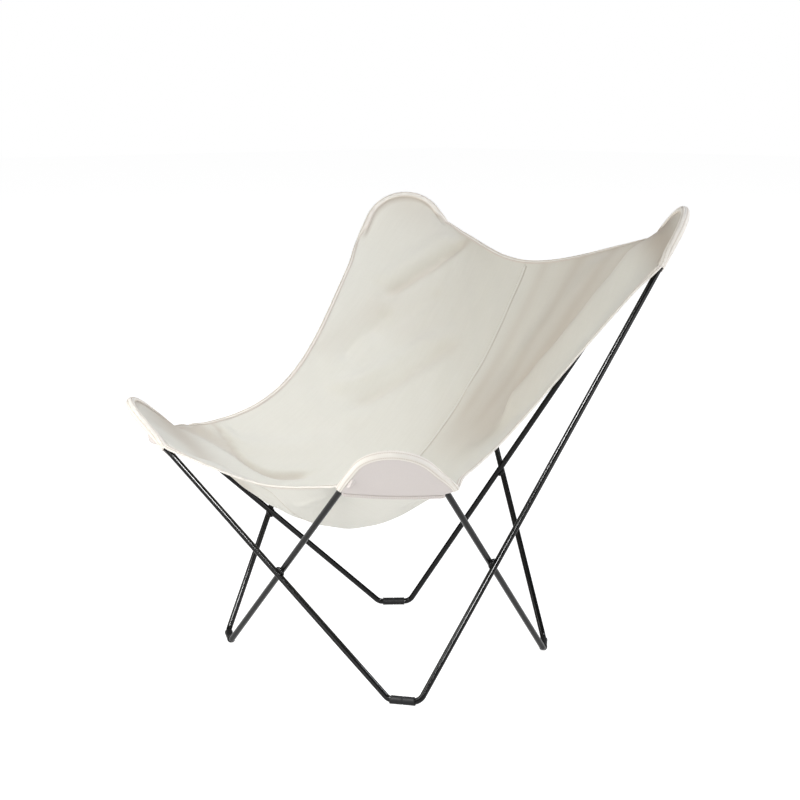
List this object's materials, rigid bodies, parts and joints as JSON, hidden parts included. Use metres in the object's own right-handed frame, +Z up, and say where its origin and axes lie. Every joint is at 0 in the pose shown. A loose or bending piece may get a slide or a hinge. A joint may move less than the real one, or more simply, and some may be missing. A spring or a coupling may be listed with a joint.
{
  "type": "butterfly sling chair",
  "caption": "Lounge chair with a canvas sling hung by ear pockets on a welded frame of bent steel rod that crosses on each side and stands on plastic foot sleeves.",
  "frame": {"origin": "middle of the chair's footprint, on the floor", "axes": "+Z up, the chair faces -Y, +X is right as seen from the front"},
  "size_m": [0.9016, 0.861, 0.9042],
  "materials": {
    "frame_paint": "semi-gloss black paint",
    "foot_plastic": "satin moulded",
    "canvas": "plain woven cotton canvas, natural white",
    "canvas_tape": "folded and stitched canvas edge"
  },
  "bodies": {
    "root": {"back_crossing_weld": "frame_paint", "back_edge_hem": "canvas_tape", "back_left_foot_sleeve": "foot_plastic", "back_left_pocket_rim": "canvas_tape", "back_left_pocket_underside": "canvas", "back_left_rod": "frame_paint", "back_right_foot_sleeve": "foot_plastic", "back_right_pocket_rim": "canvas_tape", "back_right_pocket_underside": "canvas", "back_right_rod": "frame_paint", "centre_seam_tape": "canvas_tape", "front_crossing_weld": "frame_paint", "front_edge_hem": "canvas_tape", "front_left_foot_sleeve": "foot_plastic", "front_left_pocket_rim": "canvas_tape", "front_left_pocket_underside": "canvas", "front_left_rod": "frame_paint", "front_right_foot_sleeve": "foot_plastic", "front_right_pocket_rim": "canvas_tape", "front_right_pocket_underside": "canvas", "front_right_rod": "frame_paint", "left_crossing_weld": "frame_paint", "left_edge_hem": "canvas_tape", "right_crossing_weld": "frame_paint", "right_edge_hem": "canvas_tape", "sling_left_panel": "canvas", "sling_right_panel": "canvas"}
  },
  "joints": []
}
